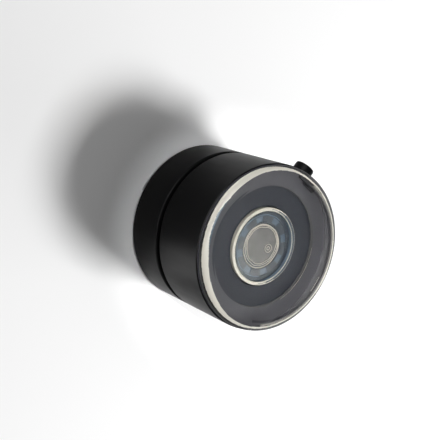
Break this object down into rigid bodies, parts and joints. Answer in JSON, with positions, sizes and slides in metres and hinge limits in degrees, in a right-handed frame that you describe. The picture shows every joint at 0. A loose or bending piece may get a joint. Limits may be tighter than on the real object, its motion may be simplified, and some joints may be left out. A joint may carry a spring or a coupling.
{
  "type": "magnetic suction-cup phone holder",
  "caption": "Black two-section magnetic puck with a clear dished suction pad, a quarter-turn draw that pulls the pad back, and a side release button.",
  "frame": {"origin": "centre of the magnetic face, on the axis of the case", "axes": "+Z along the axis from the magnetic face to the suction pad; the release button points between +X and +Y, 52 degrees round from +X"},
  "size_m": [0.0598, 0.0598, 0.0453],
  "materials": {
    "case_black": "satin",
    "inner_black": "satin",
    "carrier_gray": "satin",
    "washer_black": "matte",
    "face_silicone": "matte",
    "clear_pad": "glossy, clear",
    "clear_hub": "glossy, clear",
    "cap_gray": "glossy",
    "seal_cream": "satin",
    "nickel_magnet": "plated",
    "zinc_steel": "plated",
    "spring_steel": "bright",
    "stem_metal": "turned",
    "brass": "turned"
  },
  "bodies": {
    "base": {"face_pad": "face_silicone", "base_shell": "case_black", "magnet_ring": "nickel_magnet", "shield_ring": "zinc_steel", "base_plate": "inner_black", "base_plate_screws": "zinc_steel", "friction_washer": "washer_black", "stop_pin": "zinc_steel", "keeper_ring": "zinc_steel", "keeper_screws": "zinc_steel", "cam_sleeve": "brass", "cam_sleeve_screws": "zinc_steel"},
    "barrel": {"barrel_shell": "case_black", "seat_plate": "inner_black", "seat_screws": "zinc_steel", "pad_carrier": "carrier_gray", "suction_pad": "clear_pad", "stem_guide": "inner_black", "guide_screws": "zinc_steel", "button_spring": "spring_steel"},
    "stem": {"draw_stem": "stem_metal", "cam_pin": "zinc_steel", "clear_hub": "clear_hub", "hub_cap": "cap_gray", "hub_seal": "seal_cream"},
    "button": {"release_button": "case_black", "valve_plunger": "stem_metal", "valve_seal": "washer_black", "plunger_clip": "spring_steel"}
  },
  "joints": [
    {"name": "lock_turn", "type": "hinge", "parent": "base", "child": "barrel", "pos_m": [0, 0, 0.018], "axis": [0, 0, 1], "range_deg": [0, 90]},
    {"name": "stem_draw", "type": "slide", "parent": "barrel", "child": "stem", "axis": [0, 0, -1], "range_m": [0, 0.0018]},
    {"name": "button_press", "type": "slide", "parent": "barrel", "child": "button", "axis": [-0.6157, -0.788, 0], "range_m": [0, 0.0015], "stiffness_N_per_m": 1200, "springref_m": -0.0001, "deforming": ["button_spring"]}
  ],
  "couplings": [
    {"joint": "lock_turn", "follows": "stem_draw", "rad_per_m": 872.66}
  ]
}
